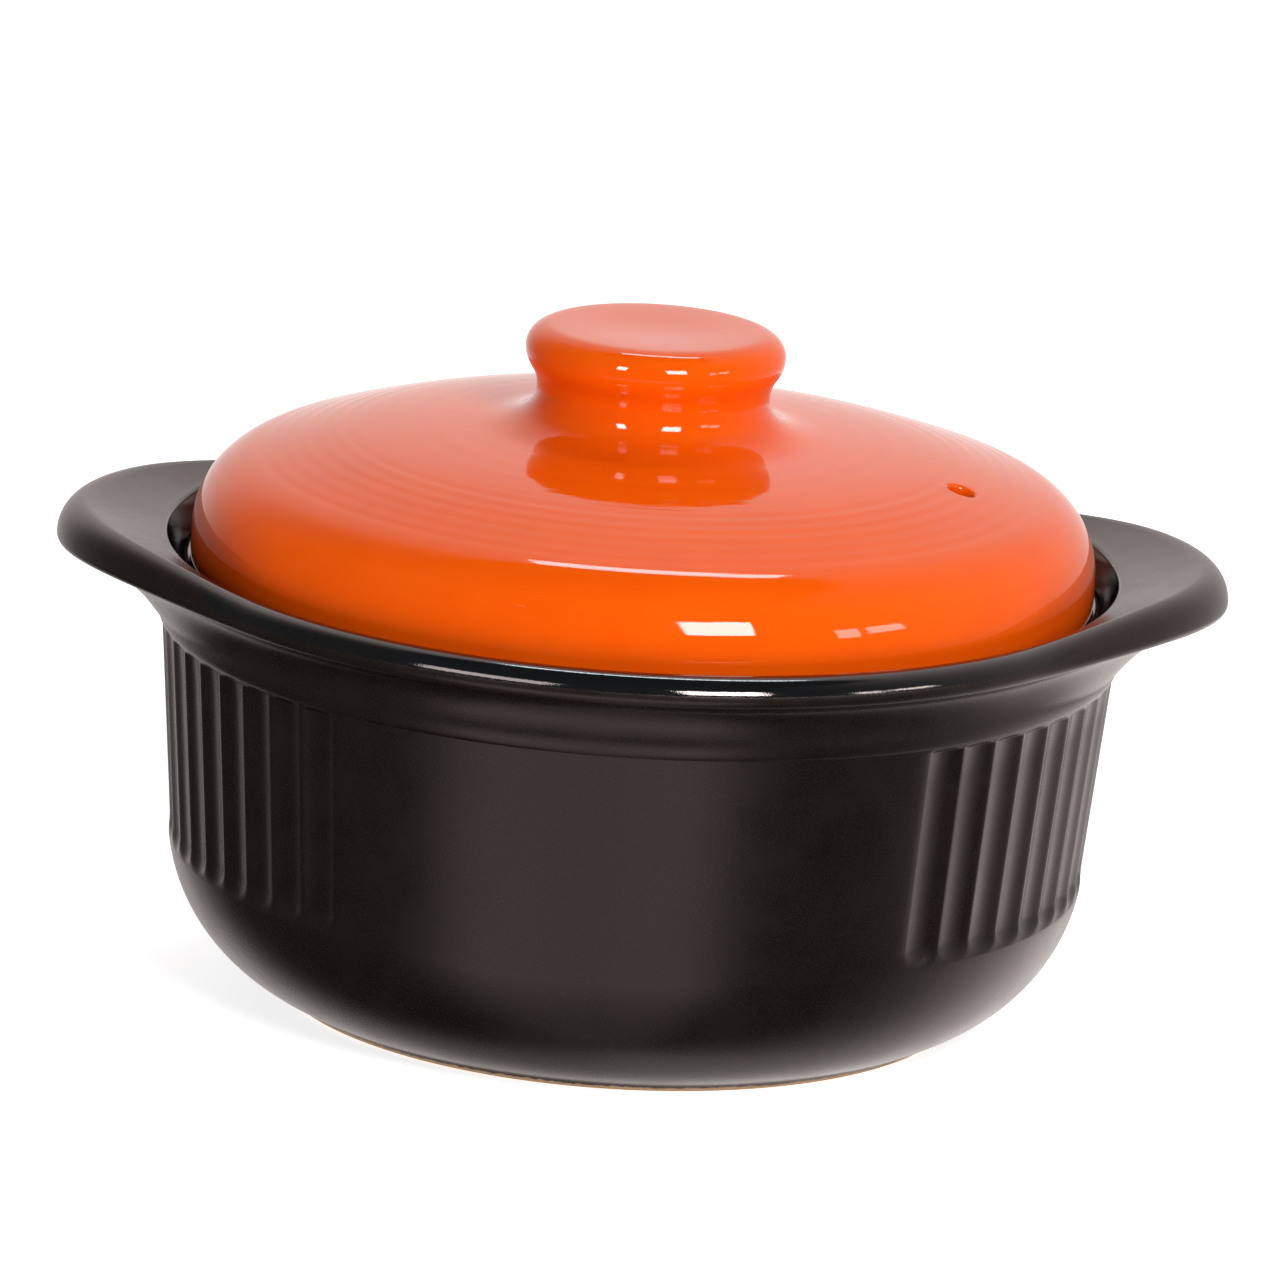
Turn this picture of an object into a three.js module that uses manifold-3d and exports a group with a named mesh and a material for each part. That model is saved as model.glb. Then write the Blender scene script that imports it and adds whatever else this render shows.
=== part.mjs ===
// Ceramic soup pot: a fluted stoneware pot with two ear handles, and a domed lid with a knob.
// Millimetres, +Z up. The origin is the centre of the foot, on the surface that the pot stands on.
// The handles point along +X and -X.
import * as THREE from "three";
import { mergeVertices } from "three/addons/utils/BufferGeometryUtils.js";
import Module from "manifold-3d";

// Pot: foot and base
const FOOT_R = 84.4; // outside radius where the base curve meets the foot
const FOOT_H = 1.8; // height of the foot's outer face
const FOOT_DRAFT = 1.1; // how far that face leans in towards the bottom
const FOOT_W = 9; // width of the ring that the pot stands on
const FOOT_RECESS = 2.2; // depth of the hollow inside that ring
const BASE_ARC_R = 42; // radius of the base curve, from the foot up to the wall
const BASE_H = 35; // height where the base curve ends and the wall begins

// Pot: wall and bowl
const WALL_TOP_R = 115.9; // outside radius of the wall under the rim
const WALL_TAPER = 4.7; // how much narrower the wall is at its lower end
const WALL_T = 8.5; // thickness of the wall at its lower end
const FLOOR_T = 8.3; // thickness of the floor
const BOWL_FILLET_R = 30; // radius between the bowl's wall and its floor

// Pot: flutes, scooped out of the wall in two side panels
const DIVISIONS = 68; // equal steps round the pot, each as wide as a flute
const FLUTES = 20; // flutes in each panel, centred on a handle
const FLUTE_DEPTH = 1.4;
const FLUTE_RUN_OUT = 1.5; // height in which a flute fades out under the bead

// Pot: rim
const RIM_Z = 111; // height of the rim's top
const LIP_OVERHANG = 5.7; // how far the lip stands out from the wall
const LIP_W = 6.6; // width of the lip, from its outside to the mouth
const LIP_H = 7.3; // height of the lip's outer edge
const LIP_NOSE = 5; // width of the rounding of its upper side
const LIP_UNDER = 2.4; // rounding of its lower side
const UNDER_TURN = THREE.MathUtils.degToRad(60); // where that rounding ends, off level
const LIP_ROUND = 1.1; // rounding of the mouth's edge
const COVE_REACH = 3.6; // reach of the hollow curve under the lip
const BEAD_DROP = 17; // depth of the bead's middle below the rim's top
const BEAD_H = 7; // height of the bead's rounding
const BEAD_OUT = 0.8; // how far the bead stands out from the wall
const BEAD_TURN = THREE.MathUtils.degToRad(20); // where the bead runs over into the hollow, off level

// Pot: ear handles
const HANDLE_REACH = 20.3; // how far a handle stands out from the lip
const HANDLE_SPREAD = THREE.MathUtils.degToRad(40); // half its width at the root, seen from the axis
const HANDLE_T = 9.8; // thickness
const HANDLE_NOSE = 7; // width of the rounding of its upper edge
const HANDLE_UNDER = 1.6; // rounding of its lower edge
const HANDLE_RISE = 4.8; // height of the tip's top over the rim's top
const HANDLE_FILLET = 17; // reach of the hollow curve under the handle
const HANDLE_LEAN = 5; // how far that curve leans out where it leaves the bead
const HANDLE_BEAD_TURN = THREE.MathUtils.degToRad(-40); // where the bead runs over into it

// Pot: ledge inside the rim, which carries the lid
const RIM_FLARE = 4.2; // how much wider the mouth is than the ledge's outer corner
const LEDGE_DROP = 7; // depth of the ledge below the rim's top
const LEDGE_W = 6; // width of the ledge
const EDGE_ROUND = 1.2; // rounding of the ledge's corners and of the lid's lower edge

// Lid: shell
const LID_CLEARANCE = 1.4; // play between the lid and the ledge's outer corner, all round
const SEAT_GAP = 0.3; // gap between the ledge and the lid's seat
const LID_T = 6; // thickness of the shell
const LID_SIDE_H = 7.7; // height of the upright side
const SHOULDER_R = 20; // rounding between the side and the dome
const DOME_R = 300; // radius of the dome
const LID_STEPS = 60; // facets round the lid

// Lid: turning rings and steam hole
const RINGS = 5; // shallow rings on the dome, counted inwards from the shoulder
const RING_STEP = 4.2; // distance from ring to ring
const RING_DEPTH = 0.05;
const VENT_D = 6.4; // diameter of the steam hole
const VENT_INSET = 31; // distance of its middle from the lid's edge, seen from above
const VENT_ANGLE = THREE.MathUtils.degToRad(-17); // its direction, from the handle along +X

// Lid: knob
const KNOB_R = 31.4; // radius of the cap
const KNOB_H = 19.5; // height of the cap's top over the dome's crown
const KNOB_EDGE_W = 6.4; // width of the rounding of the cap's upper edge
const KNOB_EDGE_H = 5.6; // height of that rounding
const KNOB_DISH = 0.6; // depth of the hollow in the cap's top
const NECK_R = 28.2; // radius of the narrowest place
const NECK_H = 4.1; // height of the narrowest place over the dome's crown
const NECK_FILLET = 10; // reach of the hollow curve from the neck out to the dome

// Facets along each curve
const BASE_FACETS = 7;
const BEAD_FACETS = 3;
const COVE_FACETS = 5;
const UNDER_FACETS = 2;
const EDGE_FACETS = 5;
const BOWL_FACETS = 6;
const UNDERSIDE_FACETS = 4;
const SHOULDER_FACETS = 6;
const KNOB_FACETS = 4;
const VENT_FACETS = 20;

// Radii and heights that follow
const creaseR = WALL_TOP_R - WALL_TAPER;
const bowlR = creaseR - WALL_T;
const lipR = WALL_TOP_R + LIP_OVERHANG;
const mouthR = lipR - LIP_W;
const galleryR = mouthR - RIM_FLARE;
const boreR = galleryR - LEDGE_W;
const floorZ = FOOT_RECESS + FLOOR_T;
const beadZ = RIM_Z - BEAD_DROP;
const wallTopZ = beadZ - BEAD_H / 2;
const ledgeZ = RIM_Z - LEDGE_DROP;

const step = (2 * Math.PI) / DIVISIONS;
const panelHalf = (FLUTES / 2) * step;
const fluteHalf = (creaseR * step) / 2;

const lidR = galleryR - LID_CLEARANCE;
const seatZ = ledgeZ + SEAT_GAP;
const sideTopZ = seatZ + LID_SIDE_H;
const shoulderX = lidR - SHOULDER_R;
const domeCentreZ = sideTopZ - Math.sqrt((DOME_R - SHOULDER_R) ** 2 - shoulderX ** 2);
const domeStart = Math.atan2(sideTopZ - domeCentreZ, shoulderX);
const domeEdgeR = DOME_R * Math.cos(domeStart);
const crownZ = domeCentreZ + DOME_R;

const { lerp, clamp, euclideanModulo } = THREE.MathUtils;
const point = (r, z) => new THREE.Vector2(r, z);

// Points of an arc about a centre in the section plane, of an ellipse or of a circle.
function ellipse(r, z, rx, rz, from, to, facets) {
  return new THREE.EllipseCurve(r, z, rx, rz, from, to, to < from).getPoints(facets);
}
const circle = (r, z, radius, from, to, facets) => ellipse(r, z, radius, radius, from, to, facets);

// Points of a circular arc from a to b that bulges to the right of the way.
function arc(a, b, radius, facets) {
  const half = b.clone().sub(a).multiplyScalar(0.5);
  const depth = Math.sqrt(radius ** 2 - half.lengthSq());
  const centre = a.clone().add(half).add(point(-half.y, half.x).setLength(depth));
  const from = a.clone().sub(centre).angle();
  const turn = euclideanModulo(b.clone().sub(centre).angle() - from, 2 * Math.PI);
  return circle(centre.x, centre.y, radius, from, from + turn, facets);
}

// Angle between a direction and the axis of the nearer handle, at most 90 degrees.
function fromHandle(angle) {
  return Math.abs(euclideanModulo(angle + Math.PI / 2, Math.PI) - Math.PI / 2);
}

// Directions round the pot, one for each step and `cuts` for each step of the two panels.
function directions(cuts) {
  const angles = [];
  for (let i = 0; i < DIVISIONS; i += 1) {
    const start = (i + (FLUTES % 2) / 2) * step;
    const count = fromHandle(start + step / 2) < panelHalf ? cuts : 1;
    for (let j = 0; j < count; j += 1) {
      angles.push(start + (j / count) * step);
    }
  }
  return angles;
}

// Depth of the flutes: a ball drawn straight up the wall leaves a round lower end,
// and a sharp edge where it meets its neighbour's path.
function fluteDepth(angle, z) {
  const inside = (panelHalf - fromHandle(angle)) / step;
  if (inside < 0) {
    return 0;
  }
  const ball = (fluteHalf ** 2 + FLUTE_DEPTH ** 2) / (2 * FLUTE_DEPTH);
  const across = (2 * euclideanModulo(inside, 1) - 1) * fluteHalf;
  const below = Math.max(0, BASE_H + fluteHalf - z);
  const cut = Math.sqrt(Math.max(0, ball ** 2 - across ** 2 - below ** 2)) - (ball - FLUTE_DEPTH);
  return Math.max(0, cut) * clamp((wallTopZ - z) / FLUTE_RUN_OUT, 0, 1);
}

// How much of a handle there is in a direction: 1 on its axis, 0 from its root onwards, with a soft sweep.
function handleShare(angle) {
  const side = Math.min(1, fromHandle(angle) / HANDLE_SPREAD);
  return Math.cos((side * Math.PI) / 2) ** 2;
}

// Section of the rim in one direction: bead, hollow, edge of lip or handle, top and mouth.
// The edge has a wide rounding above and a tighter one below; the handles' top rises fast from the rim.
function rimSection(angle) {
  const share = handleShare(angle);
  const edgeR = lipR + HANDLE_REACH * share;
  const topZ = RIM_Z + HANDLE_RISE * share * (2 - share);
  const nose = lerp(LIP_NOSE, HANDLE_NOSE, share);
  const lowerH = lerp(LIP_UNDER, HANDLE_UNDER, share);
  const upperH = lerp(LIP_H, HANDLE_T, share) - lowerH;
  const edgeZ = topZ - upperH;

  const turn = lerp(BEAD_TURN, HANDLE_BEAD_TURN, share);
  const bead = ellipse(WALL_TOP_R, beadZ, BEAD_OUT, BEAD_H / 2, -Math.PI / 2, turn, BEAD_FACETS);
  const under = circle(edgeR - lowerH, edgeZ, lowerH, -UNDER_TURN, 0, UNDER_FACETS);
  const upper = ellipse(edgeR - nose, edgeZ, nose, upperH, 0, Math.PI / 2, EDGE_FACETS);
  const start = bead.at(-1);
  const end = under[0];
  const third = (end.y - start.y) / 3;
  const hollow = new THREE.CubicBezierCurve(
    start,
    point(start.x + HANDLE_LEAN * share, start.y + third),
    point(end.x - lerp(COVE_REACH, HANDLE_FILLET, share), end.y - third * lerp(0.5, 1, share)),
    end,
  );
  return [
    ...bead.slice(1),
    ...hollow.getPoints(COVE_FACETS).slice(1),
    ...under.slice(1),
    ...upper.slice(1),
    point(mouthR + LIP_ROUND, RIM_Z),
    point(mouthR, RIM_Z - LIP_ROUND),
  ];
}

// One ring of the pot's skin, with the radius and height that `at` gives for each direction.
function ring(angles, at) {
  return angles.map((angle) => ({ angle, at: at(angle) }));
}

// Closed skin over a row of rings, from a middle point under them to a middle point inside.
// Rings next to each other may have different numbers of points.
function skin(firstZ, rings, lastZ) {
  const positions = [0, 0, firstZ];
  const starts = [];
  for (const points of rings) {
    starts.push(positions.length / 3);
    for (const { angle, at } of points) {
      positions.push(at.x * Math.cos(angle), at.x * Math.sin(angle), at.y);
    }
  }
  const last = positions.length / 3;
  positions.push(0, 0, lastZ);

  const faces = [];
  const index = (k, i) => starts[k] + (i % rings[k].length);
  const angleAt = (k, i) => (i < rings[k].length ? rings[k][i].angle : rings[k][0].angle + 2 * Math.PI);
  for (let i = 0; i < rings[0].length; i += 1) {
    faces.push(0, index(0, i + 1), index(0, i));
  }
  for (let k = 0; k + 1 < rings.length; k += 1) {
    let i = 0;
    let j = 0;
    while (i < rings[k].length || j < rings[k + 1].length) {
      const corner = [index(k, i), index(k + 1, j)];
      const upperDone = j === rings[k + 1].length;
      const lowerFirst = i < rings[k].length && angleAt(k, i + 1) <= angleAt(k + 1, j + 1);
      if (upperDone || lowerFirst) {
        i += 1;
        faces.push(corner[0], index(k, i), corner[1]);
      } else {
        j += 1;
        faces.push(corner[0], index(k + 1, j), corner[1]);
      }
    }
  }
  const top = rings.length - 1;
  for (let i = 0; i < rings[top].length; i += 1) {
    faces.push(index(top, i), index(top, i + 1), last);
  }
  const geometry = new THREE.BufferGeometry();
  geometry.setAttribute("position", new THREE.Float32BufferAttribute(positions, 3));
  geometry.setIndex(faces);
  return geometry;
}

function makePot() {
  const plain = directions(1);
  const fluted = directions(3);
  const rim = directions(2);
  const turned = (points) => points.map((p) => ring(plain, () => p));

  const footOut = FOOT_R - FOOT_DRAFT;
  const footIn = footOut - FOOT_W;
  const base = turned([
    point(footIn - FOOT_DRAFT, FOOT_RECESS),
    point(footIn, 0),
    point(footOut, 0),
    ...arc(point(FOOT_R, FOOT_H), point(creaseR, BASE_H), BASE_ARC_R, BASE_FACETS),
  ]);

  const scoopTurns = [Math.PI / 4, Math.PI / 3, Math.PI / 2];
  const scoopRows = scoopTurns.map((turn) => BASE_H + fluteHalf * (1 - Math.cos(turn)));
  const wall = [...scoopRows, wallTopZ - FLUTE_RUN_OUT, wallTopZ].map((z) => {
    const radius = lerp(creaseR, WALL_TOP_R, (z - BASE_H) / (wallTopZ - BASE_H));
    return ring(fluted, (angle) => point(radius - fluteDepth(angle, z), z));
  });

  const sections = new Map(rim.map((angle) => [angle, rimSection(angle)]));
  const rimRows = rimSection(0).map((_, row) => ring(rim, (angle) => sections.get(angle)[row]));

  const filletR = bowlR - BOWL_FILLET_R;
  const bowl = turned([
    point(galleryR, ledgeZ + EDGE_ROUND),
    point(galleryR - EDGE_ROUND, ledgeZ),
    point(boreR + EDGE_ROUND, ledgeZ),
    point(boreR, ledgeZ - EDGE_ROUND),
    ...circle(filletR, floorZ + BOWL_FILLET_R, BOWL_FILLET_R, 0, -Math.PI / 2, BOWL_FACETS),
  ]);
  return skin(FOOT_RECESS, [...base, ...wall, ...rimRows, ...bowl], floorZ);
}

// Half section of the lid, from the axis under the dome, round the seat, to the axis on the knob.
function lidSection() {
  const domeZ = (r) => domeCentreZ + Math.sqrt(DOME_R ** 2 - r ** 2);
  const onDome = (r) => point(r, domeZ(r));
  const under = [
    ...circle(0, domeCentreZ, DOME_R - LID_T, Math.PI / 2, domeStart, UNDERSIDE_FACETS),
    ...circle(shoulderX, sideTopZ, SHOULDER_R - LID_T, domeStart, 0, UNDERSIDE_FACETS).slice(1),
    point(lidR - LID_T, seatZ),
    point(lidR - EDGE_ROUND, seatZ),
    point(lidR, seatZ + EDGE_ROUND),
  ];

  const shell = circle(shoulderX, sideTopZ, SHOULDER_R, 0, domeStart, SHOULDER_FACETS);
  for (let i = 0; i < RINGS; i += 1) {
    const outer = domeEdgeR - i * RING_STEP;
    const groove = onDome(outer - RING_STEP / 2);
    shell.push(groove.setY(groove.y - RING_DEPTH), onDome(outer - RING_STEP));
  }

  const filletR = NECK_R + NECK_FILLET;
  const neck = point(NECK_R, crownZ + NECK_H);
  const cap = point(KNOB_R, crownZ + KNOB_H - KNOB_EDGE_H);
  const fillet = new THREE.QuadraticBezierCurve(onDome(filletR), onDome(NECK_R), neck);
  const waistZ = (neck.y + cap.y) / 2;
  const undercut = new THREE.CubicBezierCurve(neck, point(NECK_R, waistZ), point(KNOB_R, waistZ), cap);
  const flatR = KNOB_R - KNOB_EDGE_W;
  const knob = [
    onDome((shell.at(-1).x + filletR) / 2),
    ...fillet.getPoints(KNOB_FACETS),
    ...undercut.getPoints(KNOB_FACETS).slice(1),
    ...ellipse(flatR, cap.y, KNOB_EDGE_W, KNOB_EDGE_H, 0, Math.PI / 2, KNOB_FACETS).slice(1),
    point(0, crownZ + KNOB_H - KNOB_DISH),
  ];
  return [...under, ...shell, ...knob];
}

function toSolid(wasm, geometry) {
  const bare = geometry.clone();
  bare.deleteAttribute("normal");
  bare.deleteAttribute("uv");
  const merged = mergeVertices(bare, 1e-4);
  const mesh = new wasm.Mesh({
    numProp: 3,
    vertProperties: Float32Array.from(merged.attributes.position.array),
    triVerts: Uint32Array.from(merged.index.array),
  });
  return new wasm.Manifold(mesh);
}

function toGeometry(solid) {
  const mesh = solid.getMesh();
  const geometry = new THREE.BufferGeometry();
  geometry.setAttribute("position", new THREE.Float32BufferAttribute(mesh.vertProperties, 3));
  geometry.setIndex(Array.from(mesh.triVerts));
  return geometry;
}

function makeLid(wasm) {
  const shell = new THREE.LatheGeometry(lidSection(), LID_STEPS).rotateX(Math.PI / 2);

  // Steam hole, square to the dome
  const ventR = lidR - VENT_INSET;
  const normal = new THREE.Vector3(ventR, 0, Math.sqrt(DOME_R ** 2 - ventR ** 2)).normalize();
  normal.applyAxisAngle(new THREE.Vector3(0, 0, 1), VENT_ANGLE);
  const vent = new THREE.CylinderGeometry(VENT_D / 2, VENT_D / 2, 4 * LID_T, VENT_FACETS);
  vent.applyQuaternion(new THREE.Quaternion().setFromUnitVectors(new THREE.Vector3(0, 1, 0), normal));
  vent.translate(normal.x * DOME_R, normal.y * DOME_R, domeCentreZ + normal.z * DOME_R);
  return toGeometry(toSolid(wasm, shell).subtract(toSolid(wasm, vent)));
}

const wasm = await Module();
wasm.setup();

function piece(name, geometry, color, roughness) {
  geometry.computeVertexNormals();
  const material = new THREE.MeshStandardMaterial({ color, roughness, metalness: 0, flatShading: true });
  const mesh = new THREE.Mesh(geometry, material);
  mesh.name = name;
  return mesh;
}

const soupPot = new THREE.Group();
soupPot.add(piece("pot_body", makePot(), 0x2a201c, 0.5));
soupPot.add(piece("lid", makeLid(wasm), 0xe85a14, 0.12));

export default soupPot;
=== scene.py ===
"""Looks of the ceramic soup pot: glazed pot and lid, a pale floor, soft studio light and the camera.

Sections are drawn in millimetres, as radius and height, and the meshes are made in metres.
"""

import math

import bmesh
import bpy
import numpy as np
from mathutils import Matrix, Vector


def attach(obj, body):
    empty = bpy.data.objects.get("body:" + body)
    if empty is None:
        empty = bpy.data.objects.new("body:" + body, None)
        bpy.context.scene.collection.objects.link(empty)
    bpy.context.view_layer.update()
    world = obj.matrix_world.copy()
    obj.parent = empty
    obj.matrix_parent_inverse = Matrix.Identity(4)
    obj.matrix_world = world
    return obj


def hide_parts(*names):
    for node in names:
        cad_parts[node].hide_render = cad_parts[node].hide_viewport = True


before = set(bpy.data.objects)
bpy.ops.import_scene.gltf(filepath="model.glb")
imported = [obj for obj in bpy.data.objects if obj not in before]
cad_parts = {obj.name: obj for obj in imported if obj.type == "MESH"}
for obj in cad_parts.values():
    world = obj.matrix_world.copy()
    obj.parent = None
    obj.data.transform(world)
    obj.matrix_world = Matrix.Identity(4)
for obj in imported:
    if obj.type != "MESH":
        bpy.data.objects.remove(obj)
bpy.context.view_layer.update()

MM = 0.001

# Pot: foot and base
FOOT_R = 84.4  # outside radius where the base curve meets the foot
FOOT_H = 1.8
FOOT_DRAFT = 1.1
FOOT_W = 9.0
FOOT_RECESS = 2.2
FOOT_ROUND = 0.7  # rounding of the foot's edges
BARE_FOOT = (1.4, 1.9)  # heights up to which the clay is bare and from which the glaze is full
BASE_ARC_R = 42.0
BASE_H = 35.0

# Pot: wall and bowl
WALL_TOP_R = 115.9
WALL_TAPER = 4.7
WALL_T = 8.5
FLOOR_T = 8.3
BOWL_FILLET_R = 30.0

# Pot: flutes in two side panels
DIVISIONS = 68
FLUTES = 20
FLUTE_DEPTH = 1.4
FLUTE_RUN_OUT = 1.5
FLUTE_FADE = 1.0  # height over the base curve in which a flute's lower end fades
ARRIS_ROUND = 0.65  # how far the glaze rounds the edges of the flutes

# Pot: rim and handles
RIM_Z = 111.0
LIP_OVERHANG = 5.7
LIP_W = 6.6
LIP_H = 7.3
LIP_NOSE = 5.0
LIP_UNDER = 2.4
LIP_ROUND = 1.1
UNDER_TURN = math.radians(60)
COVE_REACH = 3.6
BEAD_DROP = 17.0
BEAD_H = 7.0
BEAD_OUT = 0.8
BEAD_TURN = math.radians(20)
HANDLE_REACH = 20.3
HANDLE_SPREAD = math.radians(40)
HANDLE_T = 9.8
HANDLE_NOSE = 7.0
HANDLE_UNDER = 1.6
HANDLE_RISE = 4.8
HANDLE_FILLET = 17.0
HANDLE_LEAN = 5.0
HANDLE_BEAD_TURN = math.radians(-40)

# Where the inside's gloss begins and is full, as shares of the way from the edge over the top to the mouth
EDGE_END = 0.5  # the way is this far at the end of the edge's rounding
TOP_END = 0.9
LIP_GLAZE_LINE = (0.02, 0.14)
HANDLE_GLAZE_LINE = (0.9, 0.96)
GLAZE_SWING = (0.01, 0.3)  # shares of the handle over which the line swings from the edge to the mouth

# Pot: ledge that carries the lid
RIM_FLARE = 4.2
LEDGE_DROP = 7.0
LEDGE_W = 6.0
EDGE_ROUND = 1.2

# Lid
LID_CLEARANCE = 1.4
SEAT_GAP = 0.3
BARE_SEAT = (0.9, 1.3)  # heights over the seat up to which the clay is bare and from which the glaze is full
LID_T = 6.0
LID_SIDE_H = 7.7
SHOULDER_R = 20.0
DOME_R = 300.0
DOME_SETTLED = 2.7  # how far the dome's middle lies below a ball of that radius
SETTLED_SPAN = (80.0, 30.0)  # radii where the settling begins and is full
RINGS = 6
RING_STEP = 4.2
RING_DEPTH = 0.06
VENT_D = 6.4
VENT_INSET = 31.0
VENT_ANGLE = math.radians(-17)
VENT_ROUND = 1.3  # rounding of the steam hole's edges
VENT_ROOM = 7.0  # half the size of the patch of the dome that is meshed round the hole
KNOB_R = 31.4
KNOB_H = 19.5
KNOB_EDGE_W = 6.4
KNOB_EDGE_H = 5.6
KNOB_DISH = 0.6
NECK_R = 28.2
NECK_H = 4.1
NECK_FILLET = 14.0

# Radii of the innermost rows, which a fan of triangles closes
POT_CAP_R = 8.0
KNOB_CAP_R = 2.0
UNDER_CAP_R = 3.0

# Radii and heights that follow
CREASE_R = WALL_TOP_R - WALL_TAPER
BOWL_R = CREASE_R - WALL_T
LIP_R = WALL_TOP_R + LIP_OVERHANG
MOUTH_R = LIP_R - LIP_W
GALLERY_R = MOUTH_R - RIM_FLARE
BORE_R = GALLERY_R - LEDGE_W
FLOOR_Z = FOOT_RECESS + FLOOR_T
BEAD_Z = RIM_Z - BEAD_DROP
WALL_TOP_Z = BEAD_Z - BEAD_H / 2
LEDGE_Z = RIM_Z - LEDGE_DROP
STEP = 2 * math.pi / DIVISIONS
PANEL_HALF = FLUTES / 2 * STEP
FLUTE_HALF = CREASE_R * STEP / 2
LID_R = GALLERY_R - LID_CLEARANCE
SEAT_Z = LEDGE_Z + SEAT_GAP
SIDE_TOP_Z = SEAT_Z + LID_SIDE_H
SHOULDER_X = LID_R - SHOULDER_R
DOME_CENTRE_Z = SIDE_TOP_Z - math.sqrt((DOME_R - SHOULDER_R) ** 2 - SHOULDER_X ** 2)
DOME_START = math.atan2(SIDE_TOP_Z - DOME_CENTRE_Z, SHOULDER_X)
DOME_EDGE_R = DOME_R * math.cos(DOME_START)
CROWN_Z = DOME_CENTRE_Z + DOME_R
RING_IN_R = DOME_EDGE_R - RINGS * RING_STEP
VENT_R = LID_R - VENT_INSET

# Camera, fitted to the photograph's outlines
CAMERA_AIM = (0.00065, 0.0, 0.0882)
CAMERA_DISTANCE = 2.30
CAMERA_ELEVATION = math.radians(14.67)
CAMERA_ROLL = math.radians(3.58)
CAMERA_LENS = 266.56  # mm
CAMERA_SENSOR = 36.0  # mm

# Light: name, azimuth, elevation, width and height in degrees, brightness, colour
LAMP_DISTANCE = 1.5
WHITE = (1.0, 1.0, 1.0)
COOL = (0.70, 0.90, 1.0)
SOFTBOXES = (
    ("softbox_right", 20.5, 30, 16, 17, 26, WHITE),
    ("side_pane_near", 53, 18, 6, 9, 8, WHITE),
    ("side_pane_far", 64, 19, 10, 7, 8, WHITE),
    ("strip_behind", 176, 66, 22, 6, 11, COOL),
)
SOFTBOX_LEFT = ("softbox_left", -34, 27, 28, 14, 5, WHITE)  # lights the pot alone
FILL_LEFT = ("fill_left", -72, 22, 40, 24, 1.5, WHITE)  # the fills show in no reflection
FILL_TOP = ("fill_top", 150, 64, 30, 20, 2.4, WHITE)  # lights the lid alone
KNOB_GLINT = ("knob_glint", -31, 30, 9, 20, 0.7, WHITE)  # narrow beam on the knob, for its left reflections
GLINT_AIM = (-0.008, -0.030, 0.153)
GLINT_DISTANCE = 0.2
GLINT_SPREAD = math.radians(24)

FLOOR_SIZE = 24.0  # metres
FLOOR_GLOW = 0.78  # light that comes up through the pale floor, as on a light table

# Studio round the pot: azimuth in degrees and brightness, of the sheet behind and of the table below
SHEET = (
    (-180, 1.07), (-152, 0.84), (-130, 0.27), (-108, 0.08), (-40, 0.04), (42, 0.04), (66, 0.12), (96, 0.36),
    (140, 0.72), (162, 0.88), (180, 1.07),
)
TABLE = (
    (-180, 1.0), (-150, 0.82), (-126, 0.03), (-52, 0.04), (-40, 0.68), (-8, 0.56), (20, 0.72), (30, 0.02),
    (68, 0.02), (96, 0.38), (114, 0.85), (140, 1.6), (180, 1.4),
)
TINT = (1.0, 0.92, 0.9)
SHEET_TOP = 63.0  # elevations in degrees
SHEET_FOOT = -18.0
TOP_SOFT = 3.0  # half the widths of the sheet's soft edges
FOOT_SOFT = 4.0
NADIR = 0.36  # share of the table's brightness that is left straight below
NADIR_SPAN = (-65.0, -28.0)  # elevations where that share ends and where the full brightness begins
ROOM = 0.03  # brightness over the sheet


def arc(r, z, radii, start, end, count):
    """Points of an elliptic arc about (r, z), as an array of radius and height."""
    turn = np.linspace(start, end, count)
    return np.stack([r + radii[0] * np.cos(turn), z + radii[1] * np.sin(turn)], -1)


def arc_between(a, b, radius, count):
    """Points of a circular arc from a to b that bulges to the right of the way."""
    a, b = np.array(a), np.array(b)
    half = (b - a) / 2
    length = np.hypot(*half)
    centre = a + half + np.array([-half[1], half[0]]) / length * math.sqrt(radius ** 2 - length ** 2)
    start = math.atan2(*(a - centre)[::-1])
    end = math.atan2(*(b - centre)[::-1])
    return arc(*centre, (radius, radius), start, end, count)


def line(a, b, count):
    """Points on a straight line from a to b."""
    return np.linspace(a, b, count)


def bezier(points, count):
    """Points of a Bezier curve; each control point may be a row of points, one for each direction."""
    t = np.linspace(0, 1, count).reshape(-1, *[1] * np.ndim(points[0]))
    while len(points) > 1:
        points = [(1 - t) * p + t * q for p, q in zip(points, points[1:])]
    return points[0]


def from_handle(angle):
    """Angle between a direction and the axis of the nearer handle, at most 90 degrees."""
    return np.abs((angle + np.pi / 2) % np.pi - np.pi / 2)


def directions(flute_cuts=10, plain_cuts=6):
    """Directions round the pot, closest together at the edges between flutes."""
    close = (1 - np.cos(np.arange(flute_cuts) / flute_cuts * np.pi)) / 2
    even = np.arange(plain_cuts) / plain_cuts
    angles = []
    for i in range(DIVISIONS):
        start = i * STEP
        fluted = from_handle(start + STEP / 2) < PANEL_HALF
        angles.append(start + STEP * (close if fluted else even))
    return np.concatenate(angles)


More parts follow.
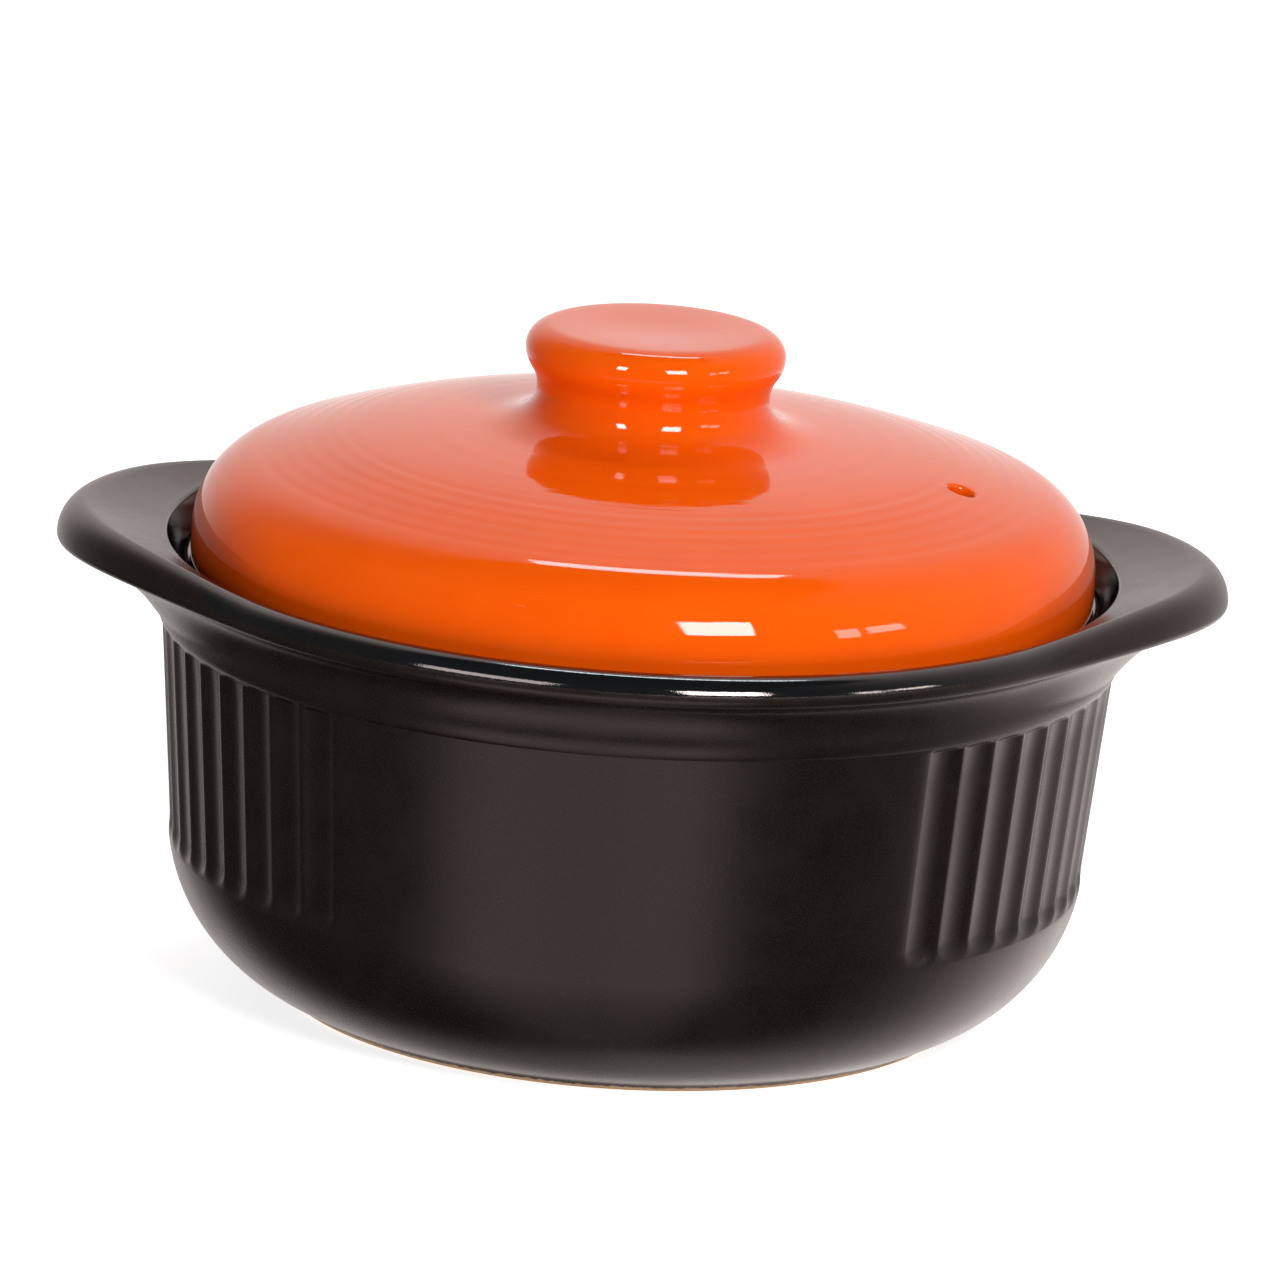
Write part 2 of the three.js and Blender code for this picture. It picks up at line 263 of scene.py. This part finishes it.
def flute_depth(angle, z):
    """Depth of the flutes. A ball drawn up the wall leaves a round lower end; glaze rounds all edges."""
    inside = (PANEL_HALF - from_handle(angle)) / STEP
    ball = (FLUTE_HALF ** 2 + FLUTE_DEPTH ** 2) / (2 * FLUTE_DEPTH)
    from_edge = FLUTE_HALF - np.abs(2 * (inside % 1) - 1) * FLUTE_HALF
    soft_edge = np.hypot(from_edge, ARRIS_ROUND)
    across = np.where(inside > 0.5, FLUTE_HALF - soft_edge, FLUTE_HALF * (1 - 2 * inside))
    below = max(0.0, BASE_H + FLUTE_HALF + ARRIS_ROUND - z)
    cut = np.sqrt(np.maximum(0, ball ** 2 - across ** 2 - below ** 2)) - (ball - FLUTE_DEPTH)
    soft_cut = (cut + np.hypot(cut, ARRIS_ROUND / 2)) / 2
    at_top = smooth_step(WALL_TOP_Z, WALL_TOP_Z - FLUTE_RUN_OUT, z)
    at_foot = smooth_step(BASE_H, BASE_H + FLUTE_FADE, z)
    return soft_cut * at_top * at_foot


def handle_share(angle):
    """How much of a handle there is in a direction: 1 on its axis, 0 from its root onwards."""
    side = np.minimum(1, from_handle(angle) / HANDLE_SPREAD)
    return np.cos(side * math.pi / 2) ** 2


def mix(a, b, share):
    """From a to b by a share of the way."""
    return a + (b - a) * share


def smooth_step(start, end, value):
    """0 at start and 1 at end, with a smooth rise between them."""
    t = np.clip((value - start) / (end - start), 0, 1)
    return t * t * (3 - 2 * t)


def rim_gloss(share, below, edge, top, mouth):
    """Gloss of the rim's rows; the counts are of rows below the edge, on it, on the top and at the mouth.

    The gloss of the inside ends in a line along the lip's edge, which swings in to the mouth at the handles.
    """
    swing = smooth_step(*GLAZE_SWING, share)
    begins, full = [mix(*ends, swing) for ends in zip(LIP_GLAZE_LINE, HANDLE_GLAZE_LINE)]
    ways = [
        *np.linspace(0, EDGE_END, edge)[1:],
        *np.linspace(EDGE_END, TOP_END, top)[1:],
        *np.linspace(TOP_END, 1, mouth)[1:],
    ]
    return [*[np.zeros_like(share)] * below, *[smooth_step(begins, full, way) for way in ways]]


def rim_rows(angle):
    """Rows of the rim, from the wall over bead, hollow, edge and top to the mouth, and their gloss."""
    share = handle_share(angle)
    edge_r = LIP_R + HANDLE_REACH * share
    lower_h = mix(LIP_UNDER, HANDLE_UNDER, share)
    upper_h = mix(LIP_H, HANDLE_T, share) - lower_h
    edge_z = RIM_Z + HANDLE_RISE * share * (2 - share) - upper_h
    nose = mix(LIP_NOSE, HANDLE_NOSE, share)
    pair = lambda r, z: np.stack(np.broadcast_arrays(r, z, angle)[:2], -1)
    edge = lambda turn, w, h: pair(edge_r + w * (math.cos(turn) - 1), edge_z + h * math.sin(turn))

    bead_end = mix(BEAD_TURN, HANDLE_BEAD_TURN, share)
    bead_turns = np.linspace(-math.pi / 2, bead_end, 10)
    bead = [pair(WALL_TOP_R + BEAD_OUT * np.cos(t), BEAD_Z + BEAD_H / 2 * np.sin(t)) for t in bead_turns]
    under = [edge(turn, lower_h, lower_h) for turn in np.linspace(-UNDER_TURN, 0, 7)]
    upper = [edge(turn, nose, upper_h) for turn in np.linspace(0, math.pi / 2, 16)]
    start, end = bead[-1], under[0]
    third = (end[:, 1] - start[:, 1]) / 3
    hollow = bezier(
        [
            start,
            pair(start[:, 0] + HANDLE_LEAN * share, start[:, 1] + third),
            pair(end[:, 0] - mix(COVE_REACH, HANDLE_FILLET, share), end[:, 1] - third * mix(0.5, 1, share)),
            end,
        ],
        14,
    )
    mouth = arc(MOUTH_R + LIP_ROUND, RIM_Z - LIP_ROUND, (LIP_ROUND, LIP_ROUND), math.pi / 2, math.pi, 6)
    top = line(upper[-1], pair(*mouth[0]), 8)
    below = [*bead[1:], *hollow[1:], *under[1:]]
    rows = [*below, *upper[1:], *top[1:], *[pair(*p) for p in mouth[1:]]]
    return rows, rim_gloss(share, len(below), len(upper), len(top), len(mouth))


def pot_rows(angle):
    """Rows of the pot's skin, from under its floor round the outside into the bowl, and their gloss."""
    foot_out = FOOT_R - FOOT_DRAFT
    foot_in = foot_out - FOOT_W
    recess_r = foot_in - FOOT_DRAFT - 1  # where the slope inside the foot begins
    soft = (FOOT_ROUND, FOOT_ROUND)
    foot = np.concatenate([
        line((POT_CAP_R, FOOT_RECESS), (recess_r, FOOT_RECESS), 6),
        arc(foot_in + FOOT_ROUND, FOOT_ROUND, soft, math.pi, 1.5 * math.pi, 5),
        arc(foot_out - FOOT_ROUND, FOOT_ROUND, soft, 1.5 * math.pi, 1.9 * math.pi, 6),
        arc_between((FOOT_R, FOOT_H), (CREASE_R, BASE_H), BASE_ARC_R, 24),
    ])
    turned = lambda points: [np.broadcast_to(p, (len(angle), 2)) for p in points]

    scoop = BASE_H + FLUTE_HALF * (1 - np.cos(np.linspace(0.15, 1, 14) * math.pi / 2))
    run_out = np.linspace(WALL_TOP_Z - FLUTE_RUN_OUT, WALL_TOP_Z, 8)
    heights = [*scoop, *np.linspace(scoop[-1], run_out[0], 8)[1:-1], *run_out]
    wall = []
    for z in heights:
        radius = mix(CREASE_R, WALL_TOP_R, (z - BASE_H) / (WALL_TOP_Z - BASE_H))
        wall.append(np.stack([radius - flute_depth(angle, z), np.full_like(angle, z)], -1))

    edge = (EDGE_ROUND, EDGE_ROUND)
    fillet = (BOWL_FILLET_R, BOWL_FILLET_R)
    flat_r = BOWL_R - BOWL_FILLET_R
    first_r = flat_r - 10  # first row on the bowl's flat floor
    bowl = np.concatenate([
        arc(GALLERY_R - EDGE_ROUND, LEDGE_Z + EDGE_ROUND, edge, 0, -math.pi / 2, 6),
        arc(BORE_R + EDGE_ROUND, LEDGE_Z - EDGE_ROUND, edge, math.pi / 2, math.pi, 6),
        arc(flat_r, FLOOR_Z + BOWL_FILLET_R, fillet, 0, -math.pi / 2, 16),
        line((first_r, FLOOR_Z), (POT_CAP_R, FLOOR_Z), 5),
    ])
    rim, on_rim = rim_rows(angle)
    rows = [*turned(foot), *wall, *rim, *turned(bowl)]
    outside = np.zeros((len(foot) + len(wall), len(angle)))
    inside = np.ones((len(bowl), len(angle)))
    return np.stack(rows), np.concatenate([outside, on_rim, inside])


def grid_faces(rows, columns):
    """Quads of a grid of points that closes round its columns, one row of quads after another."""
    i, j = np.meshgrid(np.arange(rows - 1), np.arange(columns), indexing="ij")
    next_j = (j + 1) % columns
    corners = [i * columns + j, i * columns + next_j, (i + 1) * columns + next_j, (i + 1) * columns + j]
    return np.stack(corners, -1)


def cap_faces(first, columns, middle):
    """Triangles from a row of points to a middle point."""
    return [[first + j, first + (j + 1) % columns, middle] for j in range(columns)]


def tube_faces(loops):
    """Quads between loops of point numbers, each loop joined to the next."""
    size = len(loops[0])
    return [
        [a[j], a[(j + 1) % size], b[(j + 1) % size], b[j]]
        for a, b in zip(loops, loops[1:])
        for j in range(size)
    ]


def turned_points(rows, angle):
    """Points in space of rows of radius and height, each at all directions."""
    radius, height = rows[..., 0], rows[..., 1]
    shape = np.broadcast_arrays(radius * np.cos(angle), radius * np.sin(angle), height)
    return np.stack(shape, -1).reshape(-1, 3)


def new_piece(name, points, faces, material):
    """Smooth mesh object of points in millimetres, with its faces turned outwards."""
    mesh = bpy.data.meshes.new(name)
    mesh.from_pydata((np.asarray(points) * MM).tolist(), [], [[int(i) for i in face] for face in faces])
    outward = bmesh.new()
    outward.from_mesh(mesh)
    bmesh.ops.recalc_face_normals(outward, faces=outward.faces)
    outward.to_mesh(mesh)
    outward.free()
    mesh.shade_smooth()
    mesh.materials.append(material)
    piece = bpy.data.objects.new(name, mesh)
    bpy.context.scene.collection.objects.link(piece)
    return piece


def make_pot():
    """Pot with its handles, and the layer that tells gloss from satin."""
    angle = directions()
    rows, gloss = pot_rows(angle)
    count, columns = gloss.shape
    points = turned_points(rows, angle)
    under, inside = len(points), len(points) + 1
    faces = [
        *grid_faces(count, columns).reshape(-1, 4),
        *cap_faces(0, columns, under),
        *cap_faces((count - 1) * columns, columns, inside),
    ]
    points = np.concatenate([points, [[0, 0, FOOT_RECESS], [0, 0, FLOOR_Z]]])
    piece = new_piece("glazed_pot", points, faces, dark_glaze())
    layer = piece.data.attributes.new("gloss", "FLOAT", "POINT")
    layer.data.foreach_set("value", [*gloss.ravel(), 0.0, 1.0])
    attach(piece, "pot")
    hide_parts("pot_body")
    return piece


def dome_height(r):
    """Height of the lid's outside over its dome, flatter in the middle and with shallow turning rings."""
    r = np.asarray(r, float)
    wave = (1 - np.cos((DOME_EDGE_R - r) / RING_STEP * 2 * np.pi)) / 2
    groove = np.where((r > RING_IN_R) & (r < DOME_EDGE_R), RING_DEPTH * wave, 0)
    settled = DOME_SETTLED * smooth_step(*SETTLED_SPAN, r)
    return DOME_CENTRE_Z + np.sqrt(DOME_R ** 2 - r ** 2) - groove - settled


def under_height(r):
    """Height of the lid's underside over its dome."""
    return DOME_CENTRE_Z + np.sqrt((DOME_R - LID_T) ** 2 - np.asarray(r, float) ** 2)


def knob_section():
    """Section of knob and neck, from the axis on the knob's top down to the dome."""
    neck = np.array([NECK_R, CROWN_Z + NECK_H])
    cap = np.array([KNOB_R, CROWN_Z + KNOB_H - KNOB_EDGE_H])
    waist_z = (neck[1] + cap[1]) / 2
    flat_r = KNOB_R - KNOB_EDGE_W
    fillet_r = NECK_R + NECK_FILLET
    on_dome = lambda r: np.array([r, float(dome_height(r))])
    dish_r = np.linspace(KNOB_CAP_R, flat_r, 9)[:-1]
    dish_z = CROWN_Z + KNOB_H - KNOB_DISH * np.cos(dish_r / flat_r * math.pi / 2) ** 2
    return np.concatenate([
        np.stack([dish_r, dish_z], -1),
        arc(flat_r, cap[1], (KNOB_EDGE_W, KNOB_EDGE_H), math.pi / 2, 0, 14),
        bezier([cap, np.array([KNOB_R, waist_z]), np.array([NECK_R, waist_z]), neck], 14)[1:],
        bezier([neck, on_dome(NECK_R), on_dome(fillet_r)], 14)[1:],
    ])


def lid_section(dome_r):
    """Section of the lid from the knob's top round the seat to the axis under the dome.

    dome_r are the radii, outwards, of the rows that the dome's outside and underside share.
    Also returns the places of these rows in the section, outside and underneath.
    """
    knob = knob_section()
    inner_r = SHOULDER_R - LID_T
    edge = (EDGE_ROUND, EDGE_ROUND)
    middle_r = np.linspace(NECK_R, UNDER_CAP_R, 5)
    upper = np.concatenate([
        knob,
        np.stack([dome_r, dome_height(dome_r)], -1),
        arc(SHOULDER_X, SIDE_TOP_Z, (SHOULDER_R, SHOULDER_R), DOME_START, 0, 18)[1:],
        arc(LID_R - EDGE_ROUND, SEAT_Z + EDGE_ROUND, edge, 0, -math.pi / 2, 6),
        arc(LID_R - LID_T + EDGE_ROUND, SEAT_Z + EDGE_ROUND, edge, -math.pi / 2, -math.pi, 6),
        arc(SHOULDER_X, SIDE_TOP_Z, (inner_r, inner_r), 0, DOME_START, 10),
    ])
    shared = dome_r[dome_r < upper[-1, 0] - 0.5]
    lower_r = np.concatenate([shared[::-1], middle_r])
    section = np.concatenate([upper, np.stack([lower_r, under_height(lower_r)], -1)])
    place = np.arange(len(shared))
    return section, len(knob) + place, len(upper) + len(shared) - 1 - place


def window_border(first, last, width):
    """Row and column of the points round a window in a grid, as one loop."""
    return [
        *[(first, column) for column in range(width)],
        *[(row, width) for row in range(first, last)],
        *[(last, column) for column in range(width, 0, -1)],
        *[(row, 0) for row in range(last, first, -1)],
    ]


def vent_loops(border):
    """Loops of points from a window's border on the dome, through the steam hole, to the underside."""
    out = np.array([VENT_R, 0, math.sqrt(DOME_R ** 2 - VENT_R ** 2)]) / DOME_R
    turn = np.array(Matrix.Rotation(VENT_ANGLE, 3, "Z"))
    normal = turn @ out
    across = turn @ np.array([out[2], 0, -out[0]])
    along = turn @ np.array([0, 1, 0])
    centre = np.array([0, 0, DOME_CENTRE_Z]) + normal * DOME_R
    seen = border - centre
    bearing = np.arctan2(seen @ along, seen @ across)[:, None]
    spoke = np.cos(bearing) * across + np.sin(bearing) * along

    def patch(share, sink, height):
        """Loop on one face of the dome, between the window's border and the hole's edge."""
        edge = centre + spoke * (VENT_D / 2 + VENT_ROUND) - normal * sink
        loop = mix(border, edge, share)
        loop[:, 2] = height(np.hypot(loop[:, 0], loop[:, 1]))
        return loop

    shares = (0.3, 0.6, 0.85, 1)
    turns = np.linspace(0, math.pi / 2, 6)[1:]
    mouth = [(VENT_D / 2 + VENT_ROUND * (1 - math.sin(t)), VENT_ROUND * (1 - math.cos(t))) for t in turns]
    hole = [*mouth, *[(r, LID_T - sink) for r, sink in mouth[::-1]]]
    return [
        *[patch(share, 0, dome_height) for share in shares],
        *[centre + spoke * r - normal * sink for r, sink in hole],
        *[patch(share, LID_T, under_height) for share in shares[::-1]],
    ]


def make_lid():
    """Lid with its knob and the steam hole, which takes the place of a window in the dome's grid."""
    columns = 256
    window = 2 * round(VENT_ROOM / (VENT_R * 2 * math.pi / columns))
    angle = VENT_ANGLE + (np.arange(columns) - window / 2) * 2 * math.pi / columns
    plain_r = np.linspace(NECK_R + NECK_FILLET, RING_IN_R, 24)
    ring_r = np.linspace(RING_IN_R, DOME_EDGE_R, RINGS * 8 + 1)
    dome_r = np.concatenate([plain_r[1:], ring_r[1:]])
    section, outside, underneath = lid_section(dome_r)
    points = turned_points(section[:, None, :], angle)

    first, last = np.searchsorted(dome_r, [VENT_R - VENT_ROOM, VENT_R + VENT_ROOM])
    quads = grid_faces(len(section), columns)
    keep = np.ones(quads.shape[:2], bool)
    keep[outside[first]:outside[last], :window] = False
    keep[underneath[last]:underneath[first], :window] = False
    cells = window_border(first, last, window)
    loops = vent_loops(points[[outside[row] * columns + column for row, column in cells]])

    size = len(cells)
    start = len(points)
    vent = [
        [outside[row] * columns + column for row, column in cells],
        *[[start + k * size + j for j in range(size)] for k in range(len(loops))],
        [underneath[row] * columns + column for row, column in cells],
    ]
    middles = [[0, 0, CROWN_Z + KNOB_H - KNOB_DISH], [0, 0, under_height(0)]]
    points = np.concatenate([points, *loops, middles])
    faces = [
        *quads[keep],
        *tube_faces(vent),
        *cap_faces(0, columns, len(points) - 2),
        *cap_faces((len(section) - 1) * columns, columns, len(points) - 1),
    ]
    piece = new_piece("glazed_lid", points, faces, orange_glaze())
    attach(piece, "lid")
    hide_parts("lid")
    return piece


def new_material(name):
    """Material with one Principled shader; returns it, its node tree and the shader."""
    material = bpy.data.materials.new(name)
    material.use_nodes = True
    return material, material.node_tree, material.node_tree.nodes["Principled BSDF"]


def node(tree, kind, inputs=None, **settings):
    """New shader node; an input is a number, a colour, or the output of another node."""
    made = tree.nodes.new("ShaderNode" + kind)
    for name, value in settings.items():
        setattr(made, name, value)
    for key, value in (inputs or {}).items():
        if isinstance(value, bpy.types.NodeSocket):
            tree.links.new(value, made.inputs[key])
        else:
            made.inputs[key].default_value = value
    return made


def noise(tree, place, size, detail=2.0):
    """Noise between 0 and 1 with grains of a size in metres."""
    return node(tree, "TexNoise", {"Vector": place, "Scale": 1 / size, "Detail": detail}).outputs[0]


def between(tree, value, low, high, start=0.0, end=1.0):
    """Smooth change from start to end while a value goes from low to high."""
    inputs = {"Value": value, "From Min": low, "From Max": high, "To Min": start, "To Max": end}
    return node(tree, "MapRange", inputs, interpolation_type="SMOOTHSTEP").outputs["Result"]


def add_scaled(tree, value, extra, scale):
    """A value plus scale times another one."""
    return node(tree, "Math", {0: extra, 1: scale, 2: value}, operation="MULTIPLY_ADD").outputs[0]


def mix_colour(tree, share, a, b):
    """From colour a to colour b by a share."""
    return node(tree, "Mix", {0: share, 6: a, 7: b}, data_type="RGBA").outputs[2]


def mix_value(tree, share, a, b):
    """From number a to number b by a share."""
    return node(tree, "Mix", {0: share, 2: a, 3: b}).outputs[0]


def object_place(tree):
    """Place on the piece, in metres."""
    return node(tree, "TexCoord").outputs["Object"]


def height_of(tree, place):
    """Height of a place over the ground, in metres."""
    return node(tree, "SeparateXYZ", {0: place}).outputs["Z"]


def bare_clay(tree, place):
    """Colour of the unglazed clay, with its grain."""
    return mix_colour(tree, noise(tree, place, 0.0006, 4), (0.30, 0.17, 0.09, 1), (0.52, 0.34, 0.20, 1))


def dark_glaze():
    """Satin brown-black outside, gloss black inside, and bare clay where the foot stands."""
    material, tree, shader = new_material("dark_glaze")
    place = object_place(tree)
    ragged = noise(tree, place, 0.0016, 3)
    grain = noise(tree, place, 0.0004)
    gloss_layer = node(tree, "Attribute", attribute_name="gloss").outputs["Fac"]
    gloss = between(tree, add_scaled(tree, gloss_layer, ragged, 0.5), 0.68, 0.82)
    level = add_scaled(tree, height_of(tree, place), ragged, 0.0012)
    bare = between(tree, level, BARE_FOOT[0] * MM, BARE_FOOT[1] * MM, 1, 0)

    mottled = noise(tree, place, 0.012, 5)
    satin_colour = mix_colour(tree, mottled, (0.0034, 0.0021, 0.0014, 1), (0.0084, 0.0054, 0.0040, 1))
    gloss_colour = mix_colour(tree, mottled, (0.0030, 0.0036, 0.0042, 1), (0.0050, 0.0064, 0.0074, 1))
    glazed = mix_colour(tree, gloss, satin_colour, gloss_colour)
    colour = mix_colour(tree, bare, glazed, bare_clay(tree, place))
    satin_rough = between(tree, mix_value(tree, grain, mottled, grain), 0.3, 0.7, 0.24, 0.31)
    rough = mix_value(tree, bare, mix_value(tree, gloss, satin_rough, 0.06), 0.9)
    bump = node(tree, "Bump", {"Height": grain, "Strength": 0.06, "Distance": 0.0002})

    tree.links.new(colour, shader.inputs["Base Color"])
    tree.links.new(rough, shader.inputs["Roughness"])
    tree.links.new(bump.outputs[0], shader.inputs["Normal"])
    shader.inputs["Specular IOR Level"].default_value = 0.92
    shader.inputs["Specular Tint"].default_value = (1, 0.86, 0.82, 1)
    return material


def orange_glaze():
    """Gloss orange with faint turning marks; the seat that stands on the ledge is bare clay."""
    material, tree, shader = new_material("orange_glaze")
    place = object_place(tree)
    flat = node(tree, "VectorMath", {0: place, 1: (1, 1, 0)}, operation="MULTIPLY").outputs[0]
    radius = node(tree, "VectorMath", {0: flat}, operation="LENGTH").outputs["Value"]
    marks = {"W": radius, "Scale": 260, "Detail": 3}
    turned = node(tree, "TexNoise", marks, noise_dimensions="1D").outputs[0]
    flow = noise(tree, place, 0.02, 4)
    ragged = noise(tree, place, 0.0016, 3)
    level = add_scaled(tree, height_of(tree, place), ragged, 0.001)
    bare = between(tree, level, (SEAT_Z + BARE_SEAT[0]) * MM, (SEAT_Z + BARE_SEAT[1]) * MM, 1, 0)

    tone = mix_value(tree, 0.4, flow, turned)
    orange = mix_colour(tree, tone, (0.80, 0.078, 0.001, 1), (0.90, 0.114, 0.002, 1))
    colour = mix_colour(tree, bare, orange, bare_clay(tree, place))
    rough = mix_value(tree, bare, between(tree, flow, 0.3, 0.7, 0.03, 0.06), 0.9)
    skin = add_scaled(tree, turned, noise(tree, place, 0.007), 0.5)
    bump = node(tree, "Bump", {"Height": skin, "Strength": 0.6, "Distance": 0.00008})

    tree.links.new(colour, shader.inputs["Base Color"])
    tree.links.new(rough, shader.inputs["Roughness"])
    tree.links.new(bump.outputs[0], shader.inputs["Normal"])
    shader.inputs["Specular IOR Level"].default_value = 0.38
    return material


def pale_floor():
    """Matt white sheet with a faint unevenness."""
    material, tree, shader = new_material("pale_floor")
    uneven = noise(tree, object_place(tree), 0.25)
    colour = mix_colour(tree, uneven, (0.88, 0.88, 0.88, 1), (0.91, 0.91, 0.91, 1))
    tree.links.new(colour, shader.inputs["Base Color"])
    shader.inputs["Roughness"].default_value = 0.95
    shader.inputs["Specular IOR Level"].default_value = 0.1
    shader.inputs["Emission Color"].default_value = (1, 1, 1, 1)
    shader.inputs["Emission Strength"].default_value = FLOOR_GLOW
    return material


def make_floor():
    """Floor that the glazes don't mirror, so that the dark walls keep the studio's own reflections."""
    half = FLOOR_SIZE / 2
    corners = [(-half, -half, 0), (half, -half, 0), (half, half, 0), (-half, half, 0)]
    mesh = bpy.data.meshes.new("floor")
    mesh.from_pydata(corners, [], [(0, 1, 2, 3)])
    mesh.materials.append(pale_floor())
    floor = bpy.data.objects.new("floor", mesh)
    floor.visible_glossy = False
    bpy.context.scene.collection.objects.link(floor)


def make_camera():
    """Camera in front of the pot, at the photograph's viewing angle."""
    camera = bpy.data.cameras.new("camera")
    camera.lens = CAMERA_LENS
    camera.sensor_width = CAMERA_SENSOR
    holder = bpy.data.objects.new("camera", camera)
    bpy.context.scene.collection.objects.link(holder)
    back = Vector((0, -math.cos(CAMERA_ELEVATION), math.sin(CAMERA_ELEVATION)))
    right = Vector((1, 0, 0))
    up = back.cross(right)
    axes = Matrix((right, up, back)).transposed() @ Matrix.Rotation(CAMERA_ROLL, 3, "Z")
    holder.matrix_world = Matrix.Translation(Vector(CAMERA_AIM) + back * CAMERA_DISTANCE) @ axes.to_4x4()
    bpy.context.scene.camera = holder


def make_softbox(
    name, azimuth, elevation, width, height, brightness, colour, aim=CAMERA_AIM, away=LAMP_DISTANCE
):
    """Lamp that faces its aim. Azimuth 0 is the camera's side, positive to its right; all in degrees."""
    lamp = bpy.data.lights.new(name, "AREA")
    lamp.shape = "RECTANGLE"
    lamp.size = 2 * away * math.tan(math.radians(width / 2))
    lamp.size_y = 2 * away * math.tan(math.radians(height / 2))
    lamp.energy = brightness * math.pi * lamp.size * lamp.size_y
    lamp.color = colour
    holder = bpy.data.objects.new(name, lamp)
    bpy.context.scene.collection.objects.link(holder)
    a, e = math.radians(azimuth), math.radians(elevation)
    back = Vector((math.sin(a) * math.cos(e), -math.cos(a) * math.cos(e), math.sin(e)))
    holder.location = Vector(aim) + back * away
    holder.rotation_euler = back.to_track_quat("Z", "Y").to_euler()
    return holder


def make_knob_glint():
    """Small lamp close to the knob, which shows only in reflections."""
    holder = make_softbox(*KNOB_GLINT, GLINT_AIM, GLINT_DISTANCE)
    holder.data.spread = GLINT_SPREAD
    holder.visible_camera = holder.visible_diffuse = False


def light_only(lamp, piece):
    """Keep a lamp's light to one piece."""
    receivers = bpy.data.collections.new(lamp.name + "_receivers")
    receivers.objects.link(piece)
    lamp.light_linking.receiver_collection = receivers


def light_ring(tree, turn, stops):
    """Brightness round the studio, from stops of azimuth and brightness."""
    ramp = node(tree, "ValToRGB", {0: turn})
    elements = ramp.color_ramp.elements
    while len(elements) < len(stops):
        elements.new(0.5)
    for element, (azimuth, brightness) in zip(elements, stops):
        element.position = azimuth / 360 + 0.5
        element.color = [*[share * brightness for share in TINT], 1]
    return ramp.outputs["Color"]


def make_studio():
    """Bright sheet behind and to the right, a dim room at the left and beside the camera, a pale table."""
    world = bpy.data.worlds.new("studio")
    world.use_nodes = True
    tree = world.node_tree
    split = node(tree, "SeparateXYZ", {0: node(tree, "TexCoord").outputs["Generated"]})
    front = node(tree, "Math", {0: split.outputs["Y"], 1: -1.0}, operation="MULTIPLY").outputs[0]
    azimuth = node(tree, "Math", {0: split.outputs["X"], 1: front}, operation="ARCTAN2").outputs[0]
    turn = add_scaled(tree, 0.5, azimuth, 1 / (2 * math.pi))
    level = lambda elevation: math.sin(math.radians(elevation))
    rise = split.outputs["Z"]
    table = between(tree, rise, level(SHEET_FOOT - FOOT_SOFT), level(SHEET_FOOT + FOOT_SOFT), 1, 0)
    room = between(tree, rise, level(SHEET_TOP - TOP_SOFT), level(SHEET_TOP + TOP_SOFT))
    around = mix_colour(tree, table, light_ring(tree, turn, SHEET), light_ring(tree, turn, TABLE))
    colour = mix_colour(tree, room, around, (ROOM, ROOM, ROOM, 1))
    strength = between(tree, rise, level(NADIR_SPAN[0]), level(NADIR_SPAN[1]), NADIR, 1)
    tree.links.new(colour, tree.nodes["Background"].inputs["Color"])
    tree.links.new(strength, tree.nodes["Background"].inputs["Strength"])
    bpy.context.scene.world = world


make_camera()
make_floor()
make_studio()
for softbox in SOFTBOXES:
    make_softbox(*softbox)
make_knob_glint()
fill_left, fill_top = make_softbox(*FILL_LEFT), make_softbox(*FILL_TOP)
fill_left.visible_glossy = fill_top.visible_glossy = False
light_only(make_softbox(*SOFTBOX_LEFT), make_pot())
light_only(fill_top, make_lid())
bpy.context.scene.view_settings.view_transform = "Standard"
